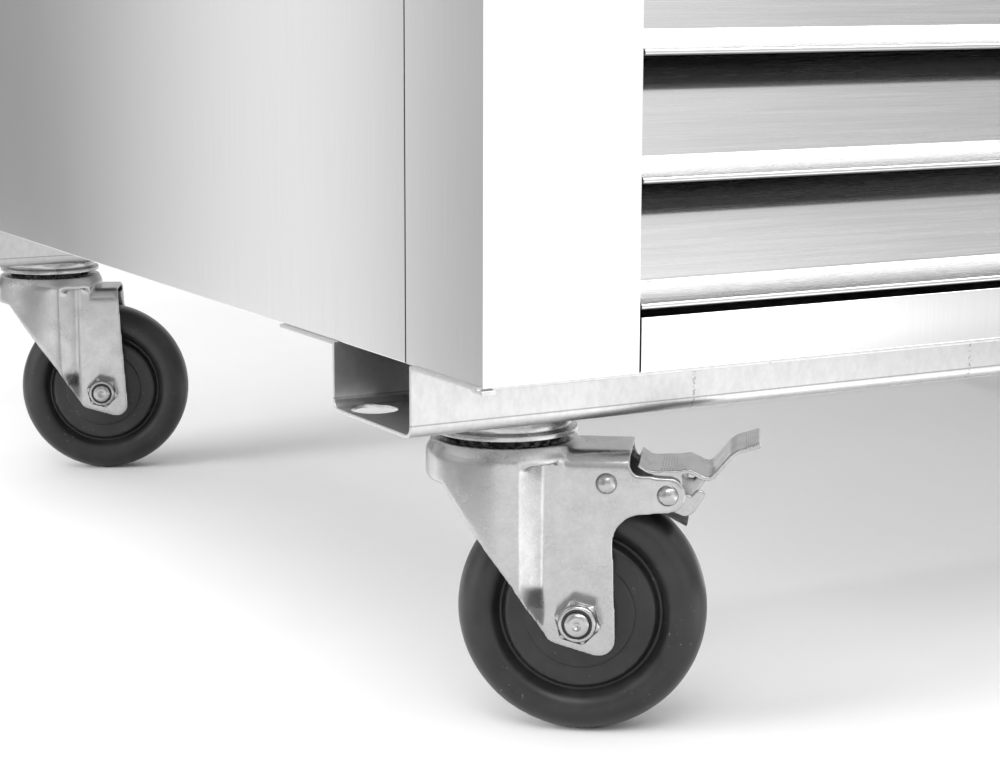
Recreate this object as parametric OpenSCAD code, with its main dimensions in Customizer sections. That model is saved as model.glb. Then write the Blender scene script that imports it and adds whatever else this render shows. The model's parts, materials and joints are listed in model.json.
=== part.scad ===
// Rolling tool chest: stainless cabinet with seven drawers on four swivel casters.
// Cabinet frame: x from the left face, y from the front face to the back, z from the floor.

/* [Cabinet] */
// Width of the cabinet body
body_w = 1067; // [900:1:1400]
// Depth of the cabinet body
body_d = 744; // [700:1:800]
// Height of the cabinet's underside above the floor
body_base = 159; // [159:0.5:165]
// Thickness of the stainless sheet
sheet = 1.2; // [1:0.1:1.5]
// Width of a corner post seen from the front
post_face = 66.2; // [60:0.1:80]
// Depth of a corner post seen from the side
post_return = 60.2; // [50:0.1:62]
// Open seam between a corner post and its side panel
seam_gap = 0.8; // [0.5:0.1:1.5]
// Height of the bottom rail
bottom_rail_h = 20.7; // [18:0.1:25]
// Height of the top rail
top_rail_h = 62; // [55:1:80]
// How far the worktop stands out past the body on each side
top_overhang = 12; // [8:1:20]
// Depth of the worktop's folded edge
top_edge = 28; // [20:1:35]

/* [Drawers] */
// Height of one drawer unit
drawer_pitch = 46.6; // [45:0.1:52]
// Units in each drawer, from the bottom drawer up
drawer_units = [1, 1, 1, 2, 2, 3, 3];
// How far the pull lip stands out from the flat of a drawer front
lip_depth = 13; // [10:0.5:16]
// Height at which the flat of a drawer front meets the ramp of its pull lip
lip_rise = 9; // [8:0.5:12]
// How far the top of a drawer front leans back behind the flat
lean_depth = 9.5; // [6:0.5:12]
// Height of the part of a drawer front that leans back
lean_rise = 12.5; // [8:0.5:14]
// Length of a drawer tray
tray_d = 670; // [640:1:672]

/* [Channels] */
// Width of a hat channel across its walls
channel_w = 69.3; // [66:0.1:75]
// Height of a hat channel
channel_h = 28.4; // [27:0.1:28.4]
// Thickness of the galvanised sheet
channel_sheet = 1.5; // [1.2:0.1:2]
// Width of each top flange of a hat channel
flange_w = 51.7; // [40:0.1:52]
// Outside radius of the channel's two lower bends
channel_bend = 5; // [3:0.5:8]

/* [Casters] */
// Diameter of a wheel
wheel_d = 101.6; // [100:0.1:102]
// Width of a wheel's tread
wheel_w = 29; // [26:0.5:30]
// Distance from a swivel axis to the wheel's axle line
trail = 32.1; // [28:0.1:34]
// Distance of the swivel axes from the cabinet's side faces
caster_inset = 58.7; // [55:0.1:80]
// Distance of the swivel axes from the cabinet's front and back faces
caster_setback = 87.9; // [87.9:0.1:100]
// Direction in which the front casters trail, turned about the vertical
front_trail_angle = -35.7; // [-180:0.1:180]
// Direction in which the rear casters trail, turned about the vertical
rear_trail_angle = -25; // [-180:0.1:180]

/* [Handle] */
// Distance from the right side face to the middle of the handle tube
handle_reach = 50; // [45:1:60]
// Radius of the handle tube
handle_r = 12.5; // [10:0.5:14]
// Height of the handle above the floor
handle_z = 765; // [700:1:790]

/* [Hidden] */
$fn = 48;
eps = 0.01;

// The origin is on the floor, in the middle of the whole object's plan
mid_x = (body_w + handle_reach + handle_r - top_overhang) / 2;
mid_y = body_d / 2;

// Heights of the rails and of the drawer stack
rail_top = body_base + bottom_rail_h;
front_gap = 2.7;
stack_base = rail_top + front_gap;
function units_below(i) = i == 0 ? 0 : drawer_units[i - 1] + units_below(i - 1);
unit_count = units_below(len(drawer_units));
stack_top = stack_base + unit_count * drawer_pitch;
top_rail_base = stack_top + 1.35;
body_top = top_rail_base + top_rail_h;

// Small clearances and folded flanges of the shell
post_lap = 20;
fold = 15;
rail_fold = 30;
rail_side_gap = 0.9;
rail_tab = 10;

// Slide members, measured inwards from the plane of a post's inner face
slide_zone = 12.7;
slide_h = 35.2;
slide_sheet = 1.2;
slide_start = 42;
slide_len = 645;
slide_rise = 23.6;
outer_flange = 10;
mid_from = 2;
mid_to = 9.8;
mid_web = 5.3;
mid_h = 30.4;
inner_h = 23;
inner_flange = 5.5;

// Trays and fronts
tray_sheet = 1;
front_sheet = 1.2;
front_side_gap = 1;
tray_lift = 4;
front_top_gap = 1.5;
front_flange = 9;
tray_y = lip_depth + lean_depth + front_sheet;
tray_x = post_face + slide_zone;
lip_nose = 2.6;
lip_hem = 4;
lip_bend = 0.9;
lean_bend = 4;

// Uprights that carry the slides
upright_w = 40;
upright_front_y = 75;
upright_rear_y = 600;

// Hat channels
web_z = body_base - channel_h;
channel_over = 1.6;
access_r = 9.5;
access_x = 11;
access_off = 22;

// Caster heights and parts
wheel_r = wheel_d / 2;
bolt_r = 5;
race_r = 29.6;
race_rim_z = 123.7;
race_rim_t = 2;
race_lid_z = 125.5;
crown_z = 121.4;
crown_r = 32;
braked_top_z = 118.8;
plain_top_z = 113.8;
fork_t = 2;
shoulder_r = 7;
leg_out = 19.6;
leg_in = leg_out - fork_t;
kingpin_r = 7;
ball_r = 1.9;
ball_ring_r = 22.5;
ball_count = 24;
axle_r = 5;
bush_r = 8;
fit = 0.05;
rivet_r = 2.5;
rivet_1 = [42.6, 106.1];
rivet_2 = [66.9, 101.8];
pedal_half = 16.9;
pedal_t = 1.8;
caster_corners = [[0, 0], [1, 0], [0, 1], [1, 1]];

// Lock
lock_x = body_w - 130;
lock_z = top_rail_base + 18;
lock_r = 9.5;
plug_r = 6.5;

// Handle
handle_y0 = 130;
handle_y1 = body_d - 130;
handle_bend = 30;
bracket_r = 22;
bracket_t = 6;

// ---------- helpers ----------

function arc(cx, cy, r, from, to, steps) =
    [for (i = [0:steps]) let (a = from + (to - from) * i / steps) [cx + r * cos(a), cy + r * sin(a)]];

function unit(v) = v / norm(v);

// Direction of a path at point i, and the mitred side step of length t there
function step_dir(p, i) = unit(p[i + 1] - p[i]);
function side(d) = [-d[1], d[0]];
function mitre(p, i, t) =
    i == 0 ? side(step_dir(p, 0)) * t :
    i == len(p) - 1 ? side(step_dir(p, i - 1)) * t :
    let (a = side(step_dir(p, i - 1)), b = side(step_dir(p, i)))
    (a + b) * t / (1 + a * b);

// Closed outline of a sheet of thickness t that follows the path p
function strip(p, t) =
    concat(p, [for (i = [len(p) - 1:-1:0]) p[i] + mitre(p, i, t)]);

// Moves cabinet coordinates to the object's origin
module in_frame() {
    translate([-mid_x, -mid_y, 0]) children();
}

// Box given by its low and high corners
module block(low, high) {
    translate(low) cube(high - low);
}

// Extrudes an outline drawn in (y, z) along x
module along_x(from, to) {
    translate([from, 0, 0]) rotate([90, 0, 90]) linear_extrude(to - from) children();
}

// Extrudes an outline drawn in (x, z) along y, centred on y = 0
module across(width) {
    rotate([90, 0, 0]) linear_extrude(width, center = true) children();
}

// Mirror image about the cabinet's middle
module on_right() {
    translate([body_w, 0, 0]) mirror([1, 0, 0]) children();
}

module both_sides() {
    children();
    on_right() children();
}

// Swivel axis of the caster at a corner: [0 left or 1 right, 0 front or 1 rear]
function caster_xy(corner) = [
    corner[0] == 0 ? caster_inset : body_w - caster_inset,
    corner[1] == 0 ? caster_setback : body_d - caster_setback
];

module at_corner(corner) {
    translate([caster_xy(corner)[0], caster_xy(corner)[1], 0]) children();
}

// Local caster frame: x along the trail, y along the axle, z from the floor
module at_caster(corner) {
    turn = corner[1] == 0 ? front_trail_angle : rear_trail_angle;
    in_frame() at_corner(corner) rotate([0, 0, turn]) children();
}

// ---------- shell ----------

module side_sheet() {
    y0 = post_return + seam_gap;
    block([0, y0, body_base], [sheet, body_d, body_top]);
    block([0, body_d - sheet, body_base], [fold, body_d, body_top]);
    block([0, y0, body_base], [fold, body_d, body_base + sheet]);
    block([0, y0, body_top - sheet], [fold, body_d, body_top]);
}

module left_side_panel() {
    color("gainsboro") in_frame() side_sheet();
}

module right_side_panel() {
    color("gainsboro") in_frame() on_right() side_sheet();
}

module corner_post() {
    lap_y = post_return - post_lap;
    block([0, 0, body_base], [post_face, sheet, body_top]);
    block([0, 0, body_base], [sheet, post_return, body_top]);
    block([post_face - sheet, 0, body_base], [post_face, post_return, body_top]);
    block([sheet - eps, lap_y, body_base + 3], [2 * sheet, post_return, body_top - 3]);
    block([sheet + 0.02, lap_y, body_base + 3], [2 * sheet, post_return + post_lap, body_top - 3]);
}

module left_corner_post() {
    color("whitesmoke") in_frame() corner_post();
}

module right_corner_post() {
    color("whitesmoke") in_frame() on_right() corner_post();
}

module back_panel() {
    y1 = body_d - sheet;
    x0 = sheet + 0.1;
    z0 = body_base + 2 * sheet + 0.1;
    color("silver") in_frame() {
        block([x0, y1 - sheet, z0], [body_w - x0, y1, body_top - sheet - 0.1]);
        for (rib_x = [body_w / 4, body_w / 2, 3 * body_w / 4])
            block([rib_x - 12, y1 - 6, z0 + 40], [rib_x + 12, y1 - sheet + eps, body_top - 60]);
    }
}

module bottom_pan() {
    z0 = body_base + sheet;
    x0 = sheet + 0.1;
    x1 = post_face + 0.1;
    y1 = post_return + 1;
    color("silver") in_frame() {
        block([x0, y1, z0], [body_w - x0, body_d - 2 * sheet - 0.1, z0 + sheet]);
        block([x1, rail_fold + 1, z0], [body_w - x1, y1 + eps, z0 + sheet]);
    }
}

module top_panel() {
    low = [-top_overhang, -top_overhang, body_top + sheet - top_edge];
    high = [body_w + top_overhang, body_d + top_overhang, body_top + sheet];
    hem = 8;
    color("gainsboro") in_frame() difference() {
        block(low, high);
        block(low + [sheet, sheet, sheet], high - [sheet, sheet, sheet]);
        block(low + [hem, hem, -1], high - [hem, hem, top_edge - 2 * sheet]);
    }
}

module rail_section(h) {
    polygon([[0, 0], [rail_fold, 0], [rail_fold, sheet], [sheet, sheet],
        [sheet, h - sheet], [rail_fold, h - sheet], [rail_fold, h], [0, h]]);
}

module top_rail() {
    color("gainsboro") in_frame() difference() {
        translate([0, 0, top_rail_base])
            along_x(post_face + 0.1, body_w - post_face - 0.1) rail_section(top_rail_h - 0.1);
        translate([lock_x, -1, lock_z]) rotate([-90, 0, 0]) cylinder(h = 5, r = lock_r + 0.1);
    }
}

// The rail's face stands clear of the posts, and tabs behind it reach them
module bottom_rail() {
    x0 = post_face + rail_side_gap;
    color("whitesmoke") in_frame() {
        translate([0, 0, body_base]) along_x(x0, body_w - x0) rail_section(bottom_rail_h);
        translate([0, rail_fold - sheet, rail_top - sheet])
            block([x0, 0, 0], [body_w - x0, sheet, front_gap + sheet]);
        both_sides()
            block([post_face, rail_fold - rail_tab, body_base], [x0 + eps, rail_fold, body_base + sheet]);
    }
}

module runner_uprights() {
    z0 = body_base + 2 * sheet;
    z1 = body_top - sheet - 0.1;
    x0 = sheet + 0.1;
    color("darkgray") in_frame() both_sides()
        for (y0 = [upright_front_y + 6, upright_rear_y]) difference() {
            block([x0, y0, z0], [post_face, y0 + upright_w, z1]);
            block([x0 - 1, y0 + sheet, z0 - 1], [post_face - sheet, y0 + upright_w - sheet, z1 + 1]);
        }
}

// ---------- drawers ----------

// Drawer number n counts from the top, as a person reads the chest
function drawer_row(n) = len(drawer_units) - n;
function drawer_z(n) = stack_base + units_below(drawer_row(n)) * drawer_pitch;
function drawer_h(n) = drawer_units[drawer_row(n)] * drawer_pitch;

// Rounded corner at b between the straight runs from a and to c; size is the length taken from each run
function rounded(a, b, c, size, steps) =
    let (from = b + unit(a - b) * size, to = b + unit(c - b) * size)
    [for (i = [0:steps]) let (s = i / steps)
        from * (1 - s) * (1 - s) + b * 2 * s * (1 - s) + to * s * s];

// Section of a front: the top leans back, the flat stands upright, and a ramp runs out to the hemmed lip
module front_section(h) {
    nose_r = lip_nose / 2;
    nose = [nose_r, nose_r];
    crest = [lip_depth + lean_depth, h - front_top_gap];
    upper = [lip_depth, crest[1] - lean_rise];
    lower = [lip_depth, lip_rise];
    lean_angle = atan(lean_depth / lean_rise);
    reach = lower - nose;
    slope = atan(reach[1] / reach[0]) - asin(nose_r / norm(reach));
    along = [cos(slope), sin(slope)];
    out = [-sin(slope), cos(slope)];
    foot = nose + out * nose_r;
    path = concat([crest], rounded(crest, upper, lower, lean_bend, 8),
        rounded(upper, lower, foot, lip_bend, 4), [foot + along * lip_hem]);
    inside = [for (i = [len(path) - 1:-1:1]) path[i] + mitre(path, i, front_sheet)];
    flange = [crest - [0, front_sheet / sin(lean_angle)], crest - [0, front_flange],
        crest + [front_sheet, -front_flange], crest + [front_sheet, 0]];
    polygon(concat(path, arc(nose_r, nose_r, nose_r, 90 + slope, 270 + slope, 10),
        [nose - out * nose_r + along * lip_hem], inside, flange));
}

module drawer_front(n) {
    x0 = post_face + front_side_gap;
    color("lightgray") in_frame() translate([0, 0, drawer_z(n)])
        along_x(x0, body_w - x0) front_section(drawer_h(n));
}

// Open tray with the inner slide members folded onto its sides
module drawer_tray(n) {
    z0 = drawer_z(n) + tray_lift;
    z1 = drawer_z(n) + drawer_h(n) - tray_lift;
    zc = drawer_z(n) + slide_rise;
    low = [tray_x, tray_y, z0];
    high = [body_w - tray_x, tray_y + tray_d, z1];
    wall = [tray_sheet, tray_sheet, tray_sheet];
    rail_x = tray_x - slide_sheet;
    color("darkgray") in_frame() {
        difference() {
            block(low, high);
            block(low + wall, high + [-tray_sheet, -tray_sheet, 1]);
        }
        both_sides() {
            block([rail_x, slide_start + 4, zc - inner_h / 2],
                [tray_x + eps, slide_start + slide_len - 4, zc + inner_h / 2]);
            for (s = [-1, 1]) translate([0, 0, zc + s * (inner_h - slide_sheet) / 2])
                block([rail_x - inner_flange + slide_sheet, slide_start + 4, -slide_sheet / 2],
                    [rail_x + eps, slide_start + slide_len - 4, slide_sheet / 2]);
        }
    }
}

// Middle slide members: an H section that runs between the fixed and the inner members
module drawer_slides(n) {
    zc = drawer_z(n) + slide_rise;
    color("silver") in_frame() both_sides() translate([post_face, 0, zc]) {
        block([mid_web, slide_start + 2, -mid_h / 2],
            [mid_web + slide_sheet, slide_start + slide_len - 2, mid_h / 2]);
        for (s = [-1, 1]) translate([0, 0, s * (mid_h - slide_sheet) / 2])
            block([mid_from, slide_start + 2, -slide_sheet / 2],
                [mid_to, slide_start + slide_len - 2, slide_sheet / 2]);
    }
}

module fixed_rails() {
    color("silver") in_frame() both_sides()
        for (n = [1:len(drawer_units)])
            translate([post_face, slide_start, drawer_z(n) + slide_rise - slide_h / 2]) difference() {
                cube([outer_flange, slide_len, slide_h]);
                translate([slide_sheet, -1, slide_sheet])
                    cube([outer_flange, slide_len + 2, slide_h - 2 * slide_sheet]);
            }
}

module drawer_1_front() { drawer_front(1); }
module drawer_2_front() { drawer_front(2); }
module drawer_3_front() { drawer_front(3); }
module drawer_4_front() { drawer_front(4); }
module drawer_5_front() { drawer_front(5); }
module drawer_6_front() { drawer_front(6); }
module drawer_7_front() { drawer_front(7); }
module drawer_1_tray() { drawer_tray(1); }
module drawer_2_tray() { drawer_tray(2); }
module drawer_3_tray() { drawer_tray(3); }
module drawer_4_tray() { drawer_tray(4); }
module drawer_5_tray() { drawer_tray(5); }
module drawer_6_tray() { drawer_tray(6); }
module drawer_7_tray() { drawer_tray(7); }
module drawer_1_slides() { drawer_slides(1); }
module drawer_2_slides() { drawer_slides(2); }
module drawer_3_slides() { drawer_slides(3); }
module drawer_4_slides() { drawer_slides(4); }
module drawer_5_slides() { drawer_slides(5); }
module drawer_6_slides() { drawer_slides(6); }
module drawer_7_slides() { drawer_slides(7); }

// ---------- lock ----------

module lock_barrel() {
    flange_t = 2.5;
    color("silver") in_frame() translate([lock_x, -flange_t, lock_z]) rotate([-90, 0, 0])
        difference() {
            union() {
                cylinder(h = flange_t, r = lock_r + 3);
                cylinder(h = 24, r = lock_r);
            }
            translate([0, 0, -1]) cylinder(h = 30, r = plug_r + fit);
        }
}

// Key plug with its slot, and the cam behind the barrel
module lock_plug() {
    plug_len = 24;
    cam_t = 2;
    color("dimgray") in_frame() translate([lock_x, -3, lock_z]) rotate([-90, 0, 0]) {
        difference() {
            cylinder(h = plug_len + 1, r = plug_r);
            translate([-0.8, -4, -1]) cube([1.6, 8, 5]);
        }
        translate([-5, -5, plug_len + 1]) cube([10, 19, cam_t]);
    }
}

// ---------- handle ----------

module push_handle() {
    color("gainsboro") in_frame() translate([body_w, 0, handle_z]) {
        translate([handle_reach, handle_y0 + handle_bend, 0]) rotate([-90, 0, 0])
            cylinder(h = handle_y1 - handle_y0 - 2 * handle_bend, r = handle_r);
        handle_end();
        translate([0, handle_y0 + handle_y1, 0]) mirror([0, 1, 0]) handle_end();
    }
}

// One bend of the tube and the straight stub that enters its bracket
module handle_end() {
    translate([handle_reach - handle_bend, handle_y0 + handle_bend, 0]) rotate([0, 0, -90])
        rotate_extrude(angle = 90) translate([handle_bend, 0]) circle(r = handle_r);
    translate([0.5, handle_y0, 0]) rotate([0, 90, 0])
        cylinder(h = handle_reach - handle_bend - 0.5, r = handle_r);
}

module handle_brackets() {
    color("dimgray") in_frame() for (y = [handle_y0, handle_y1])
        translate([body_w, y, handle_z]) rotate([0, 90, 0]) difference() {
            union() {
                cylinder(h = bracket_t - 2, r = bracket_r);
                cylinder(h = bracket_t, r1 = bracket_r - 2, r2 = bracket_r - 4, $fn = 96);
            }
            translate([0, 0, -1]) cylinder(h = bracket_t + 2, r = handle_r + 0.02);
        }
}

// ---------- hat channels ----------

// Hat section centred on y = 0, with rounded lower bends
module hat_section() {
    half = channel_w / 2;
    b = channel_bend;
    t = channel_sheet;
    top = body_base;
    outer = concat(
        [[-half - flange_w, top - t], [-half, top - t]],
        arc(-half + b, web_z + b, b, 180, 270, 8),
        arc(half - b, web_z + b, b, 270, 360, 8),
        [[half, top - t], [half + flange_w, top - t]]);
    inner = concat(
        [[half + flange_w, top], [half - t, top]],
        arc(half - b, web_z + b, b - t, 360, 270, 8),
        arc(-half + b, web_z + b, b - t, 270, 180, 8),
        [[-half + t, top], [-half - flange_w, top]]);
    polygon(concat(outer, inner));
}

module hat_channel(front) {
    y = front ? caster_setback : body_d - caster_setback;
    flip = front ? 1 : -1;
    color("lightsteelblue") in_frame() difference() {
        union() {
            translate([0, y, 0]) along_x(-channel_over, body_w + channel_over) hat_section();
            if (front) both_sides() corner_tab();
        }
        for (right = [0, 1]) at_corner([right, front ? 0 : 1]) {
            translate([(right == 0 ? -1 : 1) * (caster_inset - access_x), flip * access_off, web_z - 1])
                cylinder(h = 5, r = access_r);
            translate([0, 0, web_z - 1]) cylinder(h = 5, r = bolt_r + 0.2);
        }
    }
}

// Corner of the front flange that shows below the post
module corner_tab() {
    block([-channel_over, -2, body_base - channel_sheet - 0.8], [4.5, 6, body_base - 0.8]);
}

module front_channel() { hat_channel(true); }
module rear_channel() { hat_channel(false); }

// ---------- caster parts fixed to the channels ----------

// Upper race: a round cup against the channel, with a rim that covers the balls
module caster_cup() {
    rotate_extrude($fn = 96) polygon([
        [kingpin_r + 0.02, race_lid_z], [race_r - 3, race_lid_z], [race_r - 3, race_rim_z],
        [race_r, race_rim_z], [race_r, race_rim_z + race_rim_t],
        [race_r - 2.4, race_rim_z + race_rim_t + 0.9], [race_r - 2.4, web_z - 2], [race_r - 1, web_z], [kingpin_r + 0.02, web_z]]);
}

module caster_cups() {
    color("silver") in_frame() for (c = caster_corners) at_corner(c) caster_cup();
}

module ball_races() {
    color("dimgray") in_frame() for (c = caster_corners) at_corner(c)
        for (i = [0:ball_count - 1]) rotate([0, 0, 360 * i / ball_count])
            translate([ball_ring_r, 0, crown_z + 0.15 + ball_r]) sphere(r = ball_r, $fn = 24);
}

// Hollow rivets that hold each cup and crown together
module kingpins() {
    head_z = crown_z - fork_t - 0.3;
    color("silver") in_frame() for (c = caster_corners) at_corner(c) difference() {
        union() {
            translate([0, 0, head_z - 3]) cylinder(h = 3, r1 = 9, r2 = 10.5);
            translate([0, 0, head_z - eps]) cylinder(h = web_z - 0.1 - head_z, r = kingpin_r);
        }
        translate([0, 0, head_z - 4]) cylinder(h = web_z - head_z + 5, r = bolt_r + fit);
    }
}

// One mounting bolt through each hollow rivet, with its washer and nut inside the channel
module caster_bolts() {
    head_h = 6;
    washer_t = 1.6;
    nut_h = 8;
    head_top = crown_z - fork_t - 3.3;
    floor_z = web_z + channel_sheet;
    color("silver") in_frame() for (c = caster_corners) at_corner(c) {
        translate([0, 0, head_top - head_h]) cylinder(h = head_h, r = 9.2, $fn = 6);
        translate([0, 0, head_top - eps]) cylinder(h = floor_z + washer_t + nut_h + 2 - head_top, r = bolt_r);
        translate([0, 0, floor_z]) cylinder(h = washer_t, r = 10.5);
        translate([0, 0, floor_z + washer_t - eps]) cylinder(h = nut_h, r = 9.2, $fn = 6);
    }
}

// ---------- caster parts that swivel ----------

// Half of the fork's plan, filled to the radius r at the back and to the half width w at the legs
module plan_fill(reach, r, w) {
    bend_u = 9;
    turn_u = 18;
    bend_v = sqrt(r * r - bend_u * bend_u);
    intersection() {
        circle(r = r, $fn = 96);
        translate([-2 * r, -r]) square([2 * r + bend_u, 2 * r]);
    }
    polygon([[bend_u - 1, -bend_v], [bend_u, -bend_v], [turn_u, -w], [reach, -w],
        [reach, w], [turn_u, w], [bend_u, bend_v], [bend_u - 1, bend_v]]);
}

// Plan of the fork's sheet: round at the back, then bending in to two flat legs
module fork_plan(reach) {
    difference() {
        plan_fill(reach, crown_r, leg_out);
        plan_fill(reach + 1, crown_r - fork_t, leg_in);
    }
}

// Side outline of the round part and the legs; the diagonal edge runs down to the axle
leg_base = concat(
    [[-crown_r - 1, 117], [-crown_r - 1, 105.5], [-26, 104.5], [-22.5, 104.5], [6, 65.7]],
    arc(23.8, 45.4, 6, 208.5, 254, 5),
    arc(40, 41.8, 7, 254, 360, 9));

// Leg outline of a braked fork, with the arm that carries the pedal
braked_leg = concat(
    leg_base,
    arc(57, 81.9, 11.5, 180, 90, 9),
    arc(rivet_2[0], rivet_2[1], 7.4, 270, 450, 14),
    [[55, 109.8]],
    arc(55.4, 112.8, 3, 270, 180, 4),
    [[52.4, 120]]);

// Leg outline of a plain fork
plain_leg = concat(leg_base, [[44, 90], [42.4, 117]]);

module fork_shell(outline, reach, bridge_to, bridge_z) {
    wall_top = 116.2;
    difference() {
        union() {
            intersection() {
                translate([0, 0, 30]) linear_extrude(90) fork_plan(reach);
                across(90) polygon(concat([[-crown_r - 1, 120]], outline, [[24, 120]]));
                union() {
                    cylinder(h = wall_top, r = crown_r + 0.1, $fn = 96);
                    along_x(0, 90) shoulders(leg_out, bridge_z, shoulder_r, 20);
                }
            }
            rotate_extrude($fn = 96) polygon([
                [kingpin_r + fit, crown_z - fork_t], [race_r - 0.9, crown_z - fork_t],
                [crown_r - 1.7, 116.6], [crown_r - 1.7, 113.3], [crown_r - 0.3, 113.3],
                [crown_r - 0.3, 117], [race_r, crown_z], [kingpin_r + fit, crown_z]]);
            intersection() {
                bridge(bridge_to, bridge_z);
                across(90) polygon(concat([[-crown_r - 1, 120]], outline, [[24, 120]]));
            }
        }
        translate([trail, 0, wheel_r]) rotate([90, 0, 0])
            cylinder(h = 60, r = axle_r + 0.05, center = true);
    }
}

// Section of a fork ahead of the crown, drawn in (y, z), with rounded upper shoulders
module shoulders(half, top, r, low) {
    polygon(concat([[half, low]], arc(half - r, top - r, r, 0, 90, 7),
        arc(r - half, top - r, r, 90, 180, 7), [[-half, low]]));
}

// Top that joins the two legs ahead of the crown
module bridge(to, z) {
    along_x(24, to) difference() {
        shoulders(leg_out, z, shoulder_r, 106);
        shoulders(leg_in, z - fork_t, shoulder_r - fork_t, 100);
    }
}

module braked_fork() {
    color("silver") difference() {
        fork_shell(braked_leg, 76, 52.4, braked_top_z);
        for (p = [rivet_1, rivet_2]) translate([p[0], 0, p[1]]) rotate([90, 0, 0])
            cylinder(h = 60, r = rivet_r + 0.02, center = true);
    }
}

module plain_fork() {
    color("silver") fork_shell(plain_leg, 50, 43.2, plain_top_z);
}

// Axle bolt with its head on the far side, lock nut on the near side, and the bushing between the legs
module axle_set() {
    head_h = 6;
    nut_h = 8;
    color("silver") translate([trail, 0, wheel_r]) rotate([90, 0, 0]) {
        translate([0, 0, -leg_out - head_h]) cylinder(h = head_h, r = 9.4, $fn = 6);
        translate([0, 0, -leg_out - eps]) cylinder(h = 2 * leg_out + nut_h + 3.6, r = axle_r);
        translate([0, 0, leg_out]) rotate([0, 0, 15]) cylinder(h = nut_h, r = 9.6, $fn = 6);
        translate([0, 0, leg_out + nut_h - eps]) cylinder(h = 2, r = 7.5);
        difference() {
            cylinder(h = 2 * leg_in - 0.02, r = bush_r, center = true);
            cylinder(h = 2 * leg_in + 1, r = axle_r - eps, center = true);
        }
    }
}

// Moulded wheel: crowned tread, a deep groove inside the rim, a thin web and a raised hub
module wheel() {
    half = wheel_w / 2;
    shoulder_r = 10;
    groove_r = 32.5;
    web_r = 30;
    hub_r = 22.6;
    hub_half = 14;
    web_half = 12.6;
    near = concat(
        [[bush_r + fit, hub_half], [hub_r - 0.6, hub_half], [hub_r, web_half], [web_r, web_half],
            [web_r + 1.2, web_half - 3.5], [groove_r + 1, web_half - 4], [groove_r + 3, half - 2.6],
            [groove_r + 5, half - 0.6], [groove_r + 7.5, half]],
        arc(wheel_r - shoulder_r, half - shoulder_r, shoulder_r, 90, 0, 10));
    far = [for (i = [len(near) - 1:-1:0]) [near[i][0], -near[i][1]]];
    color("dimgray") translate([trail, 0, wheel_r]) rotate([90, 0, 0])
        rotate_extrude($fn = 128) polygon(concat(near, far));
}

module brake_rivets() {
    dome = arc(0, leg_out - 1.2, 4.2, asin(1.2 / 4.2), 90, 6);
    color("silver") for (p = [rivet_1, rivet_2]) translate([p[0], 0, p[1]]) rotate([90, 0, 0])
        rotate_extrude() polygon(concat(
            [for (i = [len(dome) - 1:-1:0]) [dome[i][0], -dome[i][1]]],
            [[rivet_r, -leg_out], [rivet_r, leg_out]], dome));
}

// Path of the pedal's sheet, from inside the fork out to the raised toe
pedal_path = [[54.4, 112.6], [58.6, 109.6], [62.2, 109.4], [71.5, 109.9], [74.8, 110.4], [77.5, 109.2],
    [80, 107.9], [83.2, 107.4], [85.2, 108.6], [92.4, 117.2], [94.6, 118.7], [103, 121.3]];

// Side ear of the pedal with its release hook
pedal_ear = concat(
    [[60, 109.5], [60, 104.4]],
    arc(rivet_2[0], rivet_2[1], 6.6, 170, 275, 8),
    [[73.6, 92.8], [77, 94.2], [81.8, 101.6], [81, 103.4], [78.4, 104], [76.2, 101.6],
        [73.6, 101.8], [72.6, 103.4], [72.2, 110], [71.5, 110.3], [62.2, 109.8]]);

module brake_pedal() {
    ear_t = 1.6;
    color("silver") difference() {
        union() {
            across(2 * pedal_half) polygon(strip(pedal_path, pedal_t));
            for (s = [-1, 1]) translate([0, s * (pedal_half - ear_t / 2), 0])
                across(ear_t) polygon(pedal_ear);
        }
        translate([rivet_2[0], 0, rivet_2[1]]) rotate([90, 0, 0])
            cylinder(h = 60, r = rivet_r + fit, center = true);
    }
}

// Side path of the brake shoe: a bent plate that stays just clear of the tread
shoe_path = [[57, 97], [60.7, 94.9], [74.2, 87.9]];

// Shoe plate with a stem up towards the pedal
module brake_shoe() {
    plate_t = 1.3;
    stem_r = wheel_r + 2.6;
    stem_h = 4;
    color("dimgray") {
        across(24) polygon(strip(shoe_path, plate_t));
        translate([trail, 0, wheel_r]) across(10)
            polygon(concat(arc(0, 0, stem_r, 50, 57, 3), arc(0, 0, stem_r + stem_h, 56, 51, 3)));
    }
}

module front_left_fork() { at_caster([0, 0]) braked_fork(); }
module front_left_axle() { at_caster([0, 0]) axle_set(); }
module front_left_wheel() { at_caster([0, 0]) wheel(); }
module front_left_pedal() { at_caster([0, 0]) brake_pedal(); }
module front_left_shoe() { at_caster([0, 0]) brake_shoe(); }
module front_left_rivets() { at_caster([0, 0]) brake_rivets(); }
module front_right_fork() { at_caster([1, 0]) braked_fork(); }
module front_right_axle() { at_caster([1, 0]) axle_set(); }
module front_right_wheel() { at_caster([1, 0]) wheel(); }
module front_right_pedal() { at_caster([1, 0]) brake_pedal(); }
module front_right_shoe() { at_caster([1, 0]) brake_shoe(); }
module front_right_rivets() { at_caster([1, 0]) brake_rivets(); }
module rear_left_fork() { at_caster([0, 1]) plain_fork(); }
module rear_left_axle() { at_caster([0, 1]) axle_set(); }
module rear_left_wheel() { at_caster([0, 1]) wheel(); }
module rear_right_fork() { at_caster([1, 1]) plain_fork(); }
module rear_right_axle() { at_caster([1, 1]) axle_set(); }
module rear_right_wheel() { at_caster([1, 1]) wheel(); }

// ---------- nodes ----------

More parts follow.
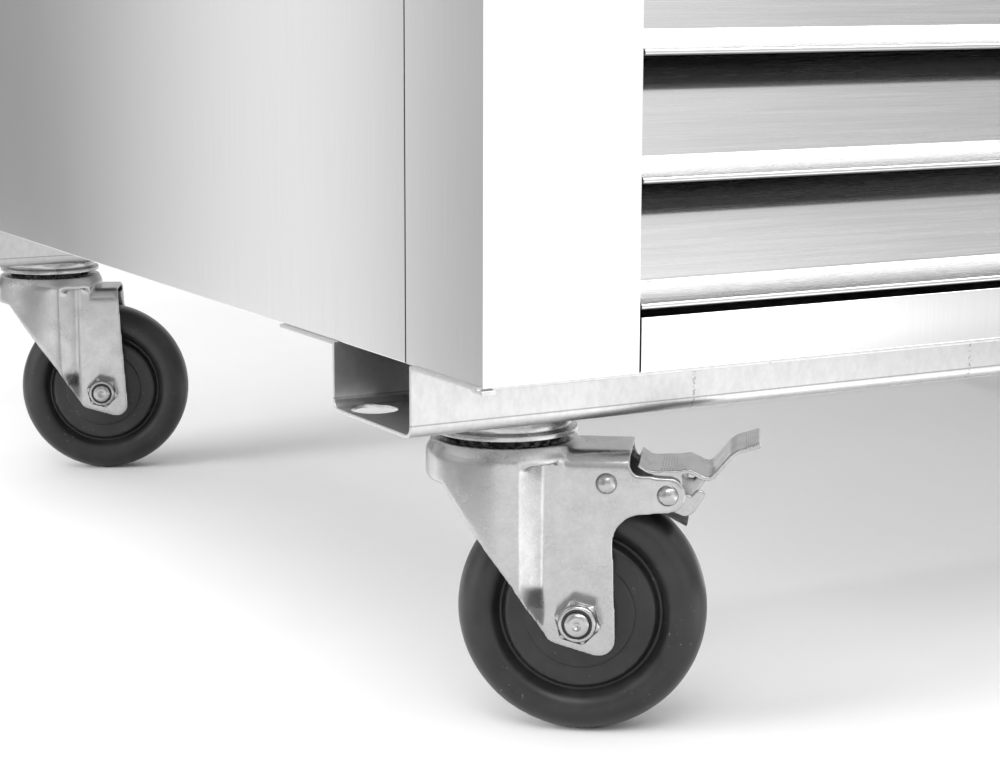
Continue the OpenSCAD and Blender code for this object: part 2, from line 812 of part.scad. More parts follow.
left_side_panel();
right_side_panel();
left_corner_post();
right_corner_post();
back_panel();
bottom_pan();
top_panel();
top_rail();
bottom_rail();
front_channel();
rear_channel();
runner_uprights();
fixed_rails();
lock_barrel();
lock_plug();
push_handle();
handle_brackets();
caster_bolts();
caster_cups();
ball_races();
kingpins();
drawer_1_front();
drawer_1_tray();
drawer_1_slides();
drawer_2_front();
drawer_2_tray();
drawer_2_slides();
drawer_3_front();
drawer_3_tray();
drawer_3_slides();
drawer_4_front();
drawer_4_tray();
drawer_4_slides();
drawer_5_front();
drawer_5_tray();
drawer_5_slides();
drawer_6_front();
drawer_6_tray();
drawer_6_slides();
drawer_7_front();
drawer_7_tray();
drawer_7_slides();
front_left_fork();
front_left_axle();
front_left_wheel();
front_left_pedal();
front_left_shoe();
front_left_rivets();
front_right_fork();
front_right_axle();
front_right_wheel();
front_right_pedal();
front_right_shoe();
front_right_rivets();
rear_left_fork();
rear_left_axle();
rear_left_wheel();
rear_right_fork();
rear_right_axle();
rear_right_wheel();
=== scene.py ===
import json
import math

import bmesh
import bpy
from mathutils import Matrix, Vector


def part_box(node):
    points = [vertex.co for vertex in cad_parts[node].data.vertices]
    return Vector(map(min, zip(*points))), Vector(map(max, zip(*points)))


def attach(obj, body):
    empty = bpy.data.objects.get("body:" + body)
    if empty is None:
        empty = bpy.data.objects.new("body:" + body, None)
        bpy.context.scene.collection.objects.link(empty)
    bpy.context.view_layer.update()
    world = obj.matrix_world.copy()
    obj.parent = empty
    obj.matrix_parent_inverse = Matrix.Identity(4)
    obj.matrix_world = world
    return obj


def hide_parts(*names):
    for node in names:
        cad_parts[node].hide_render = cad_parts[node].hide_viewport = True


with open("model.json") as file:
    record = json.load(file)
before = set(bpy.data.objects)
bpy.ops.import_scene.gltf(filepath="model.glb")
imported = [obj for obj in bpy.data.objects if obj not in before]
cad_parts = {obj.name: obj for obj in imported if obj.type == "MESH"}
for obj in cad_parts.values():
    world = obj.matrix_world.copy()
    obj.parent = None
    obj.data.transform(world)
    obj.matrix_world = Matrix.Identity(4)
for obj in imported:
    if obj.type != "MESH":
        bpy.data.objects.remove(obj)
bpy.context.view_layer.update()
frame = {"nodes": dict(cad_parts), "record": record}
nodes = frame["nodes"]
scene = bpy.context.scene

# Cabinet coordinates: x from the left face, y from the front face, z from the floor
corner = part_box("left_corner_post")[0]
origin = Vector((corner.x, corner.y, 0))
right_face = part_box("right_corner_post")[1].x
middle_x = (corner.x + right_face) / 2
half_width = middle_x - corner.x

# The open seam between each post and its side panel, below the worktop's edge, where the polished material
# paints shade
seam_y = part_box("left_side_panel")[0].y - 0.0004
seam_top = 0.82

# The channels: a painted shade line along the wall's crease, and a row of weld spots at these distances from
# each end
channel_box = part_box("front_channel")
crease_z = channel_box[0].z + 0.0053
channel_top = channel_box[1].z - 0.001
weld_from_face = (0.127, 0.271)
weld_x = [corner.x + d for d in weld_from_face] + [right_face - d for d in weld_from_face]


def at(x, y, z):
    return origin + Vector((x, y, z))


# ---------- camera ----------

cam_data = bpy.data.cameras.new("camera")
cam_data.lens = 83.59
cam_data.sensor_width = 36
cam_data.sensor_fit = "HORIZONTAL"
cam = bpy.data.objects.new("camera", cam_data)
cam.location = at(-0.3946, -0.7138, 0.30765)
cam.rotation_euler = (math.radians(90 - 10.263), math.radians(-0.143), math.radians(-29.338))
scene.collection.objects.link(cam)
scene.camera = cam
scene.view_settings.view_transform = "Standard"
scene.view_settings.look = "None"


# ---------- materials ----------

# Sockets of the Mix node that carry colours, and the Geometry node's output for the normal
MIX_A, MIX_B, MIX_COLOUR = 6, 7, 2
GEOMETRY_NORMAL = 1
X, Y, Z = 0, 1, 2


class Surface:
    """A principled material with helpers for its procedural nodes, in object coordinates."""

    def __init__(self, name, metallic, specular=0.5):
        self.m = bpy.data.materials.new(name)
        self.m.use_nodes = True
        self.t = self.m.node_tree
        self.t.nodes.clear()
        self.out = self.t.nodes.new("ShaderNodeOutputMaterial")
        self.b = self.t.nodes.new("ShaderNodeBsdfPrincipled")
        self.link(self.b, 0, self.out, 0)
        self.b.inputs["Metallic"].default_value = metallic
        self.b.inputs["Specular IOR Level"].default_value = specular
        self.coord = self.t.nodes.new("ShaderNodeTexCoord")
        self.normal = None

    def link(self, a, i, b, j):
        self.t.links.new(a.outputs[i], b.inputs[j])

    def mapped(self, scale, turn=(0, 0, 0)):
        n = self.t.nodes.new("ShaderNodeMapping")
        n.inputs["Rotation"].default_value = turn
        n.inputs["Scale"].default_value = scale
        self.link(self.coord, "Object", n, "Vector")
        return n

    def noise(self, size, stretch=(1, 1, 1), detail=3, rough=0.55, turn=(0, 0, 0)):
        """Noise with features about size metres across, drawn out by stretch."""
        n = self.t.nodes.new("ShaderNodeTexNoise")
        n.inputs["Scale"].default_value = 1
        n.inputs["Detail"].default_value = detail
        n.inputs["Roughness"].default_value = rough
        k = [1 / (size * s) for s in stretch]
        self.link(self.mapped(k, turn), 0, n, "Vector")
        return n, "Fac"

    def cells(self, size, out="Color"):
        """Cells about size metres across: their own tones, or the distance to each one's middle."""
        n = self.t.nodes.new("ShaderNodeTexVoronoi")
        n.inputs["Scale"].default_value = 1 / size
        self.link(self.coord, "Object", n, "Vector")
        return n, out

    def ramp(self, src, stops):
        """Maps a number to a level or a colour; stops are (number, level or colour)."""
        n = self.t.nodes.new("ShaderNodeValToRGB")
        e = n.color_ramp.elements
        while len(e) < len(stops):
            e.new(0.5)
        for i, (p, v) in enumerate(stops):
            e[i].position = p
            c = v if isinstance(v, tuple) else (v, v, v)
            e[i].color = (*c, 1)
        self.link(src[0], src[1], n, 0)
        return n, 0

    def math(self, op, a, b, c=None):
        """A Math node on outputs or constants."""
        n = self.t.nodes.new("ShaderNodeMath")
        n.operation = op
        for i, v in enumerate((a, b, c)):
            if v is None:
                continue
            if isinstance(v, tuple):
                self.link(v[0], v[1], n, i)
            else:
                n.inputs[i].default_value = v
        return n, 0

    def mix(self, fac, a, b):
        """Mixes two colours, each an output or a constant, by an output or a constant."""
        n = self.t.nodes.new("ShaderNodeMix")
        n.data_type = "RGBA"
        n.clamp_factor = True
        for i, v in ((0, fac), (MIX_A, a), (MIX_B, b)):
            if isinstance(v, tuple) and isinstance(v[0], bpy.types.Node):
                self.link(v[0], v[1], n, i)
            elif i == 0:
                n.inputs[0].default_value = v
            else:
                n.inputs[i].default_value = (*v, 1)
        return n, MIX_COLOUR

    def place(self, axis):
        """One object coordinate, in metres."""
        n = self.t.nodes.new("ShaderNodeSeparateXYZ")
        self.link(self.coord, "Object", n, 0)
        return n, axis

    def facing_down(self):
        """1 on surfaces that face 30 degrees or more below the level, falling to 0 by about 14 degrees."""
        n = self.t.nodes.new("ShaderNodeNewGeometry")
        split = self.t.nodes.new("ShaderNodeSeparateXYZ")
        self.link(n, GEOMETRY_NORMAL, split, 0)
        return self.ramp(self.math("MULTIPLY", (split, Z), -1.0), [(0.25, 0.0), (0.5, 1.0)])

    def base(self, src):
        self.link(src[0], src[1], self.b, "Base Color")

    def shade(self, mask, level):
        """Darkens the base colour to level where the mask is 1."""
        link = self.b.inputs["Base Color"].links[0]
        src = (link.from_node, list(link.from_node.outputs).index(link.from_socket))
        self.base(self.mix(mask, src, (level, level, level)))

    def rough(self, src):
        self.link(src[0], src[1], self.b, "Roughness")

    def bump(self, src, height, strength=1.0):
        """Bump of about height metres; bumps stack."""
        n = self.t.nodes.new("ShaderNodeBump")
        n.inputs["Strength"].default_value = strength
        n.inputs["Distance"].default_value = height
        self.link(src[0], src[1], n, "Height")
        if self.normal:
            self.link(self.normal, 0, n, "Normal")
        self.normal = n
        self.link(n, 0, self.b, "Normal")

    def grain_along(self, axis, amount):
        """Anisotropic gloss drawn out across a grain that runs along axis."""
        v = self.t.nodes.new("ShaderNodeCombineXYZ")
        for i in range(3):
            v.inputs[i].default_value = axis[i]
        self.link(v, 0, self.b, "Tangent")
        self.b.inputs["Anisotropic"].default_value = amount


def polished():
    s = Surface("polished_stainless", 1)
    streak = s.noise(0.0011, (1, 1, 60), 2, 0.6)
    cloud = s.noise(0.09, (1, 1, 1.6), 4, 0.5)
    tone = s.ramp(streak, [(0.3, 0.845), (0.7, 0.875)])
    s.base(s.mix(0.25, tone, s.ramp(cloud, [(0.35, (0.85, 0.85, 0.85)), (0.65, (0.88, 0.88, 0.885))])))
    s.rough(s.ramp(cloud, [(0.3, 0.12), (0.7, 0.155)]))
    s.bump(streak, 0.000004, 0.35)
    # Painted shade: the surface inside the open seam between each post and its side panel, below the
    # worktop's edge, darkened to 0.035
    seam = s.math("COMPARE", s.place(Y), seam_y, 0.00055)
    from_middle = s.math("ABSOLUTE", s.math("SUBTRACT", s.place(X), middle_x), 0)
    outer = s.math("GREATER_THAN", from_middle, half_width - 0.003)
    below = s.math("LESS_THAN", s.place(Z), seam_top)
    s.shade(s.math("MULTIPLY", s.math("MULTIPLY", seam, outer), below), 0.035)
    return s.m


def brushed():
    s = Surface("brushed_stainless", 1)
    fine = s.noise(0.00035, (110, 1, 1), 2, 0.7)
    broad = s.noise(0.0016, (60, 1, 1), 3, 0.6)
    cloud = s.noise(0.12, (1, 1, 0.4), 3, 0.5)
    tone = s.mix(0.4, s.ramp(fine, [(0.3, 0.55), (0.7, 0.69)]), s.ramp(broad, [(0.35, 0.57), (0.65, 0.67)]))
    s.base(s.mix(0.3, tone, s.ramp(cloud, [(0.3, 0.59), (0.7, 0.65)])))
    # Painted shade: surfaces that face downward, such as the undersides of the pull lips, darkened to 0.16
    s.shade(s.facing_down(), 0.16)
    s.rough(s.ramp(broad, [(0.3, 0.23), (0.7, 0.3)]))
    s.bump(fine, 0.000004, 0.5)
    s.grain_along((1, 0, 0), 0.75)
    return s.m


def galvanised():
    level = 0.57
    s = Surface("galvanised_steel", 1)
    grains = s.cells(0.0042)
    small = s.cells(0.0018)
    mottled = s.noise(0.0026, (1, 1, 1.8), 5, 0.65)
    cloud = s.noise(0.05, (1, 1, 1), 3, 0.5)
    g1 = s.ramp(grains, [(0.0, level - 0.04), (1.0, level + 0.03)])
    g2 = s.ramp(small, [(0.0, level - 0.03), (1.0, level + 0.03)])
    tone = s.mix(0.5, g1, g2)
    tone = s.mix(0.5, tone, s.ramp(mottled, [(0.36, level - 0.08), (0.62, level + 0.04)]))
    tone = s.mix(0.2, tone, s.ramp(cloud, [(0.3, level - 0.05), (0.7, level + 0.05)]))
    s.base(tone)
    # Painted shade along the crease of each channel's wall, together with the real weld spots; both mixed 60
    # percent towards 0.2
    crease_shade_and_welds = s.math("COMPARE", s.place(Z), crease_z, 0.0003)
    speck = s.ramp(s.noise(0.0011, detail=1), [(0.5, 0.0), (0.56, 1.0)])
    for x in weld_x:
        weld = s.math("MULTIPLY", s.math("COMPARE", s.place(X), x, 0.0007), speck)
        weld = s.math("MULTIPLY", weld, s.math("LESS_THAN", s.place(Z), channel_top))
        crease_shade_and_welds = s.math("MAXIMUM", crease_shade_and_welds, weld)
    s.shade(s.math("MULTIPLY", crease_shade_and_welds, 0.6), 0.2)
    s.rough(s.ramp(mottled, [(0.3, 0.42), (0.7, 0.33)]))
    s.bump(mottled, 0.00003, 0.35)
    s.bump(s.noise(0.0008, detail=2), 0.000006, 0.4)
    return s.m


def zinc():
    s = Surface("zinc_plate", 1)
    cloud = s.noise(0.011, (1, 1, 1), 5, 0.6)
    fine = s.noise(0.0012, (1, 1, 1), 3, 0.6)
    tone = s.ramp(cloud, [(0.32, 0.39), (0.66, 0.45)])
    tone = s.mix(0.35, tone, s.ramp(fine, [(0.35, 0.37), (0.65, 0.47)]))
    s.base(tone)
    s.rough(s.ramp(cloud, [(0.3, 0.3), (0.7, 0.2)]))
    s.bump(fine, 0.00001, 0.3)
    s.bump(cloud, 0.00006, 0.1)
    return s.m


def rubber():
    s = Surface("black_rubber", 0, 0.36)
    cloud = s.noise(0.014, (1, 1, 1), 4, 0.6)
    dust = s.noise(0.0013, (1, 1, 1), 2, 0.5)
    flecks = s.ramp(dust, [(0.69, 0.0), (0.75, 1.0)])
    patch = s.ramp(s.noise(0.02, detail=2), [(0.5, 0.0), (0.65, 1.0)])
    dots = s.math("MULTIPLY", flecks, patch)
    scuff = s.noise(0.0016, (1, 1, 9), 2, 0.5, turn=(0.5, 0.9, 0.3))
    scratch = s.ramp(scuff, [(0.72, 0.0), (0.77, 0.7)])
    base = s.ramp(cloud, [(0.3, (0.012, 0.012, 0.0125)), (0.7, (0.022, 0.022, 0.0225))])
    base = s.mix(dots, base, (0.20, 0.20, 0.20))
    base = s.mix(s.math("MULTIPLY", scratch, patch), base, (0.10, 0.10, 0.10))
    s.base(base)
    s.rough(s.ramp(cloud, [(0.3, 0.3), (0.7, 0.42)]))
    s.bump(s.noise(0.0006, detail=3), 0.00002, 0.3)
    s.bump(dots, 0.00005, 0.4)
    return s.m


def slide_steel():
    s = Surface("slide_steel", 1)
    line = s.noise(0.0009, (1, 70, 1), 2, 0.6)
    s.base(s.ramp(line, [(0.3, 0.58), (0.7, 0.7)]))
    s.rough(s.ramp(s.noise(0.02, (1, 3, 1)), [(0.3, 0.28), (0.7, 0.4)]))
    s.bump(line, 0.000006, 0.4)
    return s.m


def lock_metal():
    s = Surface("lock_metal", 1)
    cloud = s.noise(0.004, detail=4)
    s.base(s.ramp(cloud, [(0.3, 0.7), (0.7, 0.79)]))
    s.rough(s.ramp(cloud, [(0.3, 0.17), (0.7, 0.27)]))
    s.bump(s.noise(0.0005), 0.000005, 0.3)
    return s.m


def dark_plastic():
    s = Surface("dark_plastic", 0, 0.45)
    grain = s.cells(0.0007, out="Distance")
    s.base(s.ramp(s.noise(0.01, detail=4), [(0.3, (0.035, 0.035, 0.037)), (0.7, (0.055, 0.055, 0.058))]))
    s.rough(s.ramp(s.noise(0.006), [(0.3, 0.42), (0.7, 0.56)]))
    s.bump(grain, 0.00005, 0.5)
    return s.m


def bearing_steel():
    s = Surface("bearing_steel", 1)
    film = s.noise(0.003, detail=4)
    s.base(s.ramp(film, [(0.3, 0.2), (0.7, 0.42)]))
    s.rough(s.ramp(film, [(0.3, 0.2), (0.7, 0.35)]))
    s.bump(s.noise(0.0006), 0.00001, 0.3)
    return s.m


def brake_steel():
    s = Surface("brake_steel", 0.6)
    scale = s.noise(0.002, detail=5)
    s.base(s.ramp(scale, [(0.3, 0.03), (0.7, 0.075)]))
    s.rough(s.ramp(scale, [(0.3, 0.42), (0.7, 0.6)]))
    s.bump(scale, 0.00004, 0.4)
    return s.m


def floor_paint():
    s = Surface("studio_floor", 0, 0.2)
    cloud = s.noise(0.25, detail=3)
    s.base(s.ramp(cloud, [(0.35, 0.875), (0.65, 0.9)]))
    s.rough(s.ramp(cloud, [(0.3, 0.62), (0.7, 0.75)]))
    return s.m


finish = {
    "polished_stainless": polished(),
    "brushed_stainless": brushed(),
    "galvanised_steel": galvanised(),
    "slide_steel": slide_steel(),
    "lock_metal": lock_metal(),
    "dark_plastic": dark_plastic(),
    "bearing_steel": bearing_steel(),
    "black_rubber": rubber(),
    "brake_steel": brake_steel(),
    "zinc_plate": zinc(),
}
slot_of = {p["node"]: p["material_slot"] for p in frame["record"]["subparts"]}

# ---------- CAD nodes: material, small edge radius, even normals ----------

smooth_nodes = {"ball_races"}
edge_radius = {"polished_stainless": 0.0004, "brushed_stainless": 0.00025}
other_edge_radius = 0.0003
same_point = 0.00001
for name, obj in nodes.items():
    for s in obj.material_slots:
        s.material = finish[slot_of[name]]
    weld = obj.modifiers.new("weld", "WELD")
    weld.merge_threshold = same_point
    if name not in smooth_nodes:
        bevel = obj.modifiers.new("edges", "BEVEL")
        bevel.width = edge_radius.get(slot_of[name], other_edge_radius)
        bevel.segments = 2
        bevel.limit_method = "ANGLE"
        bevel.angle_limit = math.radians(38)
    even = obj.modifiers.new("normals", "WEIGHTED_NORMAL")
    even.keep_sharp = False

# ---------- building pieces ----------

joint = {j["name"]: j for j in frame["record"]["behaviour"]["joints"]}


def caster_frame(key):
    """The caster's own frame in millimetres (x along the trail, y along the axle, z up), and its trail."""
    axis = Vector(joint[key + "_swivel"]["pos_m"])
    hub = Vector(joint[key + "_roll"]["pos_m"])
    u = Vector((hub.x - axis.x, hub.y - axis.y, 0)).normalized()
    v = Vector((-u.y, u.x, 0))
    m = Matrix(((u.x, v.x, 0, axis.x), (u.y, v.y, 0, axis.y), (0, 0, 1, 0), (0, 0, 0, 1)))
    return m @ Matrix.Scale(0.001, 4), (hub - axis).xy.length * 1000


def new_piece(name, mesh, slot, body, smooth=True):
    obj = bpy.data.objects.new(name, mesh)
    scene.collection.objects.link(obj)
    mesh.materials.clear()
    mesh.materials.append(finish[slot])
    if smooth:
        mesh.polygons.foreach_set("use_smooth", [True] * len(mesh.polygons))
    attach(obj, body)
    return obj


def applied(obj):
    """The object's mesh with its modifiers applied, as a new mesh."""
    graph = bpy.context.evaluated_depsgraph_get()
    return bpy.data.meshes.new_from_object(obj.evaluated_get(graph))


def pressed_copy(node, name, frame_of, body, voxel, rounds):
    """A CAD node of sheet metal remeshed and eased, so that its bends are rounded like pressed steel."""
    mesh = nodes[node].data.copy()
    mesh.transform(frame_of.inverted())
    tmp = bpy.data.objects.new("tmp", mesh)
    scene.collection.objects.link(tmp)
    weld = tmp.modifiers.new("weld", "WELD")
    weld.merge_threshold = 0.01
    remesh = tmp.modifiers.new("remesh", "REMESH")
    remesh.mode = "VOXEL"
    remesh.voxel_size = voxel
    ease = tmp.modifiers.new("ease", "SMOOTH")
    ease.factor = 0.5
    ease.iterations = rounds
    out = applied(tmp)
    bpy.data.objects.remove(tmp)
    out.transform(frame_of)
    obj = new_piece(name, out, "zinc_plate", body)
    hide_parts(node)


def lathe_mesh(name, profile, steps=96, shape=None):
    """Solid of revolution about local y, from (radius, place along the axle); shape may change a radius."""
    verts, faces = [], []
    for r, y in profile:
        for i in range(steps):
            a = 2 * math.pi * i / steps
            rr = shape(a, r, y) if shape else r
            verts.append((rr * math.cos(a), y, rr * math.sin(a)))
    n = len(profile)
    for k in range(n - 1):
        for i in range(steps):
            j = (i + 1) % steps
            faces.append((k * steps + i, k * steps + j, (k + 1) * steps + j, (k + 1) * steps + i))
    mesh = bpy.data.meshes.new(name)
    mesh.from_pydata(verts, [], faces)
    bm = bmesh.new()
    bm.from_mesh(mesh)
    bmesh.ops.remove_doubles(bm, verts=bm.verts, dist=0.0005)
    bmesh.ops.recalc_face_normals(bm, faces=bm.faces)
    bm.to_mesh(mesh)
    bm.free()
    return mesh


def curve_through(points, per=6):
    """Smooth open curve through points (Catmull-Rom)."""
    out = []
    for i in range(len(points) - 1):
        p0, p1 = points[max(i - 1, 0)], points[i]
        p2, p3 = points[i + 1], points[min(i + 2, len(points) - 1)]
        for k in range(per):
            t = k / per
            out.append(tuple(0.5 * (2 * b + (c - a) * t + (2 * a - 5 * b + 4 * c - d) * t * t
                                    + (3 * b - a - 3 * c + d) * t ** 3)
                             for a, b, c, d in zip(p0, p1, p2, p3)))
    out.append(tuple(points[-1]))
    return out


def placed(mesh, m, u=0.0, z=0.0):
    """The mesh moved to (u, z) in the caster's frame, and out of that frame into the scene's."""
    mesh.transform(m @ Matrix.Translation((u, 0, z)))
    return mesh


def hexagon(flats):
    """A shape for lathe_mesh: a hexagon this wide across its flats, cut back to the profile's radius."""
    def shape(a, r, y):
        k = (a + math.radians(15)) % math.radians(60) - math.radians(30)
        return min(flats / 2 / math.cos(k), r)
    return shape


# ---------- casters, in millimetres ----------

wheel_r = 50.8
fork_face = 19.6       # outer faces of the fork's legs, from the middle
nut_flats = 16.6
nut_depth = 8.6        # of the steel part of the lock nut
thread_r = 5.0
bushing_r = 8.0
bushing_end = 17.6
upper_rivet = (42.6, 106.1)   # along the trail, and up from the floor

# One side of the wheel, from the hub disc over the groove and the shoulder to the middle of the tread
tyre_side = curve_through([(22.9, 12.7), (26.5, 12.6), (29.6, 12.5), (30.9, 11.2), (31.8, 8.9), (33.2, 8.6),
                           (34.3, 10.4), (35.8, 12.6), (38.0, 14.0), (41.0, 14.5), (43.8, 14.0), (46.8, 12.2),
                           (49.2, 9.0), (50.5, 4.6), (wheel_r, 0.0)], 5)


def wheel_profile():
    hub = [(8.05, 13.9), (8.6, 14.0), (21.6, 14.0), (22.2, 13.8), (22.4, 13.3), (22.5, 12.75)]
    near = hub + tyre_side
    far = [(r, -y) for r, y in reversed(near)]
    return near + far[1:]


def outward(profile, side=-1):
    """A profile given by (radius, distance out from the fork's face), on one side of the caster."""
    return [(r, side * (fork_face + d)) for r, d in profile]


def wheel(key, m, trail):
    mesh = placed(lathe_mesh("wheel", wheel_profile(), 160), m, trail, wheel_r)
    obj = new_piece(key + "_wheel_moulding", mesh, "black_rubber", key + "_roller")
    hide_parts(key + "_wheel")


def lock_nut(key, m, trail):
    """The steel nut, and the nylon ring in its collar."""
    nut = outward([(5.3, 0), (9.4, 0), (9.9, 0.4), (9.9, 6.2), (9.2, 7.1), (7.9, 7.7), (7.7, 8.2), (7.5, 9.2),
                   (6.9, 9.8), (6.2, 9.9), (6.0, 9.6), (6.0, nut_depth)])
    mesh = placed(lathe_mesh("nut", nut, 192, hexagon(nut_flats)), m, trail, wheel_r)
    obj = new_piece(key + "_lock_nut", mesh, "zinc_plate", key + "_swivel")
    obj.modifiers.new("normals", "WEIGHTED_NORMAL")
    ring = outward([(6.0, nut_depth), (5.98, 9.0), (5.6, 9.35), (5.1, 9.2), (thread_r, nut_depth)])
    mesh = placed(lathe_mesh("ring", ring), m, trail, wheel_r)
    new_piece(key + "_nylon_ring", mesh, "dark_plastic", key + "_swivel")


def axle_bolt(key, m, trail):
    """The hexagon head, the bushing between the legs, and the thread's rounded end with its centre mark."""
    head = outward([(0.0, 5.8), (6.2, 5.9), (7.9, 5.9), (8.9, 5.4), (9.8, 4.6), (9.8, 0.3), (9.3, 0.02),
                    (thread_r, 0.0)], 1)
    bushing = [(thread_r, bushing_end), (bushing_r, bushing_end - 0.01), (bushing_r, 0.01 - bushing_end),
               (thread_r, -bushing_end)]
    end = outward([(thread_r, 10.2), (4.75, 10.8), (4.2, 11.3), (3.2, 11.6), (1.5, 11.6), (1.2, 11.2),
                   (0.5, 10.9), (0.0, 10.85)])

    def shape(a, r, y):
        return hexagon(nut_flats)(a, r, y) if y > fork_face + 0.1 and r > 8.4 else r

    mesh = placed(lathe_mesh("bolt", head + bushing + end, 96, shape), m, trail, wheel_r)
    obj = new_piece(key + "_axle_bolt", mesh, "zinc_plate", key + "_swivel")
    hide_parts(key + "_axle")


def brake_rivets(key, m):
    """The brake's upper rivet and its hinge rivet: a domed head on each leg, and the shank between them."""
    dome_r, dome_rise, foot_r, shank_r = 4.25, 2.9, 4.3, 2.5
    angles = [math.radians(90 * k / 8) for k in range(9)]
    dome = [(dome_r * math.sin(a), dome_rise * math.cos(a) + 0.05) for a in angles]
    shank = [(foot_r, -fork_face), (shank_r, -fork_face), (shank_r, fork_face), (foot_r, fork_face)]
    profile = outward(dome) + shank + outward(dome, 1)[::-1]
    hinge = m.inverted() @ Vector(joint[key + "_brake_press"]["pos_m"])
    bm = bmesh.new()
    for u, z in (upper_rivet, (hinge.x, hinge.z)):
        bm.from_mesh(placed(lathe_mesh("dome", profile, 64), m, u, z))
    mesh = bpy.data.meshes.new("rivets")
    bm.to_mesh(mesh)
    bm.free()
    obj = new_piece(key + "_rivet_domes", mesh, "zinc_plate", key + "_swivel")
    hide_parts(key + "_rivets")


def pedal_grip(key, m):
    """Low ribs across the pedal, in two rows: (start, end, number of ribs), as (along the trail, height)."""
    rib_width, rib_length, rib_height = 0.35, 27, 0.5
    rows = (((64.2, 111.35), (69.6, 111.6), 6), ((97.2, 121.35), (102.2, 122.85), 7))
    bm = bmesh.new()
    for low, high, count in rows:
        a, b = Vector((low[0], 0, low[1])), Vector((high[0], 0, high[1]))
        slope = math.atan2(b.z - a.z, b.x - a.x)
        for k in range(count):
            turn = Matrix.Translation(a.lerp(b, k / (count - 1))) @ Matrix.Rotation(-slope, 4, "Y")
            rib = Matrix.Diagonal((rib_width, rib_length, rib_height, 1))
            bmesh.ops.create_cube(bm, size=1, matrix=m @ turn @ rib)
    mesh = bpy.data.meshes.new("ribs")
    bm.to_mesh(mesh)
    bm.free()
    new_piece(key + "_pedal_grip", mesh, "zinc_plate", key + "_brake", smooth=False)


for key in ("front_left", "front_right", "rear_left", "rear_right"):
    to_scene, trail = caster_frame(key)
    pressed_copy(key + "_fork", key + "_fork_pressing", to_scene, key + "_swivel", voxel=0.75, rounds=14)
    wheel(key, to_scene, trail)
    lock_nut(key, to_scene, trail)
    axle_bolt(key, to_scene, trail)
    if key.startswith("front"):
        brake_rivets(key, to_scene)
        pressed_copy(key + "_pedal", key + "_pedal_pressing", to_scene, key + "_brake", voxel=0.42, rounds=7)
        pedal_grip(key, to_scene)

# ---------- studio ----------


def stage_plane(name, corners, material):
    mesh = bpy.data.meshes.new(name)
    mesh.from_pydata([tuple(c) for c in corners], [], [tuple(range(len(corners)))])
    obj = bpy.data.objects.new(name, mesh)
    scene.collection.objects.link(obj)
    mesh.materials.append(material)
    return obj


far = 30
stage_plane("studio_floor", [(-far, -far, 0), (far, -far, 0), (far, far, 0), (-far, far, 0)], floor_paint())


def glow(name, strength=1.0, across=None, up=None, along=None):
    """Emission of one strength, or the product of smooth ramps along x, z and y: (place in metres, level)."""
    m = bpy.data.materials.new(name)
    m.use_nodes = True
    t = m.node_tree
    t.nodes.clear()
    out = t.nodes.new("ShaderNodeOutputMaterial")
    em = t.nodes.new("ShaderNodeEmission")
    t.links.new(em.outputs[0], out.inputs[0])
    last = None
    for axis, stops in ((X, across), (Z, up), (Y, along)):
        if not stops:
            continue
        low, high = stops[0][0], stops[-1][0]
        top = max(v for _, v in stops)
        strength *= top
        coord = t.nodes.new("ShaderNodeTexCoord")
        sep = t.nodes.new("ShaderNodeSeparateXYZ")
        span = t.nodes.new("ShaderNodeMapRange")
        ramp = t.nodes.new("ShaderNodeValToRGB")
        t.links.new(coord.outputs["Object"], sep.inputs[0])
        t.links.new(sep.outputs[axis], span.inputs["Value"])
        t.links.new(span.outputs[0], ramp.inputs[0])
        span.inputs["From Min"].default_value = low
        span.inputs["From Max"].default_value = high
        ramp.color_ramp.interpolation = "EASE"
        e = ramp.color_ramp.elements
        while len(e) < len(stops):
            e.new(0.5)
        for i, (p, v) in enumerate(stops):
            e[i].position = (p - low) / (high - low)
            e[i].color = (v / top, v / top, v / top, 1)
        if last:
            both = t.nodes.new("ShaderNodeVectorMath")
            both.operation = "MULTIPLY"
            t.links.new(last.outputs[0], both.inputs[0])
            t.links.new(ramp.outputs[0], both.inputs[1])
            last = both
        else:
            last = ramp
    if last:
        t.links.new(last.outputs[0], em.inputs["Color"])
    em.inputs["Strength"].default_value = strength
    return m


def card(name, low, high, material):
    """A flat reflector between two corners that share one coordinate, seen only in glossy reflections."""
    (xa, ya, za), (xb, yb, zb) = at(*low), at(*high)
    if xa == xb:
        corners = [(xa, ya, za), (xa, yb, za), (xa, yb, zb), (xa, ya, zb)]
    elif ya == yb:
        corners = [(xa, ya, za), (xb, ya, za), (xb, ya, zb), (xa, ya, zb)]
    else:
        corners = [(xa, ya, za), (xb, ya, za), (xb, yb, za), (xa, yb, za)]
    obj = stage_plane(name, corners, material)
    obj.visible_camera = False
    obj.visible_diffuse = False
    obj.visible_shadow = False
    obj.visible_transmission = False
    obj.visible_volume_scatter = False


def shifted(stops, by):
    """The stops of a ramp moved from cabinet coordinates into the scene's."""
    return [(p + by, v) for p, v in stops]


# Dim reflector beside the left panel, with one soft bright band
side_along = shifted([(-0.3, 0.46), (0.5, 0.46), (0.8, 0.92), (1.45, 0.34), (2.6, 0.34)], origin.y)
card("side_card", (-0.3, -0.3, 0.01), (-0.3, 2.6, 0.9), glow("side_glow", along=side_along))

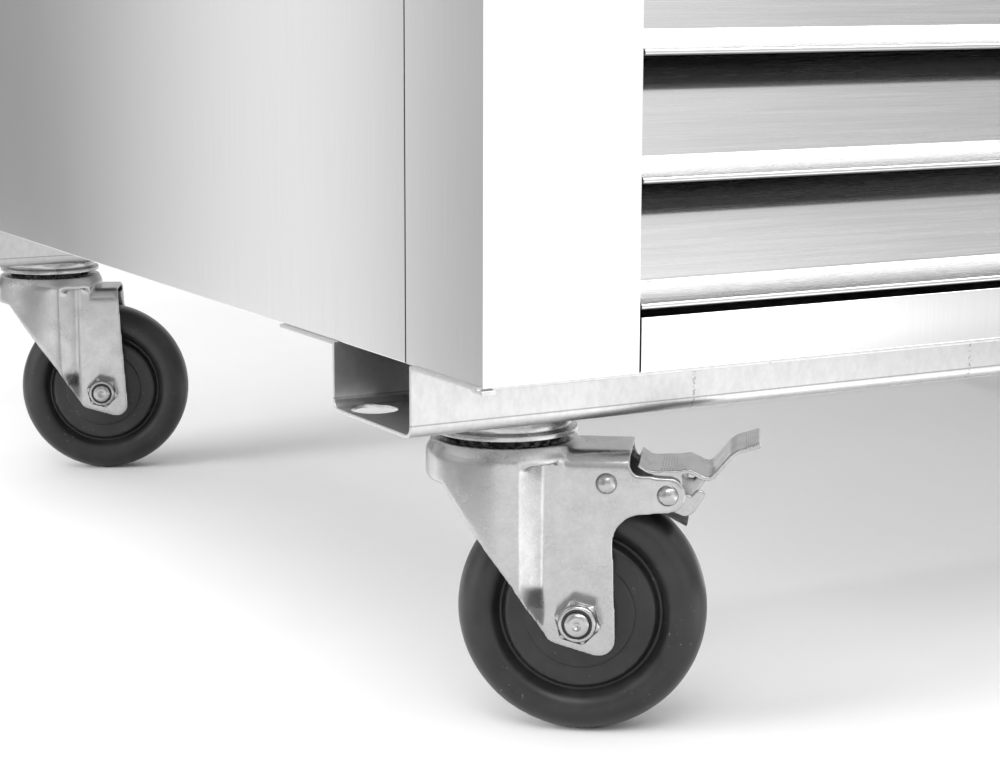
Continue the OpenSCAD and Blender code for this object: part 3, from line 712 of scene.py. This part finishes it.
# Broad reflector ahead of the fronts: brighter at the left, near the floor, and at the top, for the pull lips
front_across = [(0.05, 1.5), (0.37, 1.5), (0.41, 1.08), (0.5, 1.08), (0.7, 0.7), (1.8, 0.62)]
front_up = [(0.01, 1.0), (0.05, 1.0), (0.07, 1.45), (0.14, 0.88), (0.8, 0.88), (0.9, 6.5), (1.05, 6.5)]
card("front_card", (0.05, -0.5, 0.01), (1.8, -0.5, 1.05),
     glow("front_glow", across=shifted(front_across, origin.x), up=front_up))

# Overhead reflector that the ramps of the pull lips show
card("overhead_card", (-1.0, -0.5, 1.05), (2.0, 0.1, 1.05), glow("overhead_glow", 6.5))

# Low reflector on the floor at the right of the front caster, seen in the slanted part of its fork
low_across = shifted([(0.16, 1.2), (0.24, 2.5), (0.5, 2.5), (0.62, 1.4)], origin.x)
card("low_card", (0.16, -0.42, 0.004), (0.62, -0.03, 0.004), glow("low_glow", across=low_across))

# Low reflectors for the rear caster: one under the chest, one on the floor at its left
under_across = shifted([(0.2, 1.1), (0.3, 1.7), (0.75, 1.7)], origin.x)
card("under_card", (0.2, 0.2, 0.004), (0.75, 0.62, 0.004), glow("under_glow", across=under_across))
card("left_card", (-0.42, 0.12, 0.004), (-0.04, 0.55, 0.004), glow("left_glow", 1.7))

world = bpy.data.worlds.new("studio")
scene.world = world
world.use_nodes = True
tree = world.node_tree
back = tree.nodes["Background"]
direction = tree.nodes.new("ShaderNodeTexCoord")
split = tree.nodes.new("ShaderNodeSeparateXYZ")
sky = tree.nodes.new("ShaderNodeValToRGB")
tree.links.new(direction.outputs["Generated"], split.inputs[0])
tree.links.new(split.outputs["Z"], sky.inputs[0])
tree.links.new(sky.outputs[0], back.inputs["Color"])
back.inputs["Strength"].default_value = 1.15
# The sky's level by the height of the direction: darker at the horizon, brighter overhead
sky_levels = ((0.0, 0.5), (0.12, 0.62), (0.45, 0.85), (1.0, 1.0))
while len(sky.color_ramp.elements) < len(sky_levels):
    sky.color_ramp.elements.new(0.5)
for e, (p, v) in zip(sky.color_ramp.elements, sky_levels):
    e.position = p
    e.color = (v, v, v, 1)


def softbox(name, place, target, size, power):
    data = bpy.data.lights.new(name, "AREA")
    data.shape = "RECTANGLE"
    data.size, data.size_y = size
    data.energy = power
    obj = bpy.data.objects.new(name, data)
    obj.location = place
    obj.rotation_euler = (Vector(target) - Vector(place)).to_track_quat("-Z", "Y").to_euler()
    scene.collection.objects.link(obj)


softbox("key", at(-0.9, -1.6, 2.2), at(0.1, 0.0, 0.2), (1.6, 1.2), 26)
softbox("left", at(-2.4, 0.5, 0.9), at(0.1, 0.4, 0.0), (1.6, 1.2), 60)
softbox("fill", at(1.6, -1.5, 0.75), at(0.5, 0.2, 0.0), (1.2, 0.8), 5)
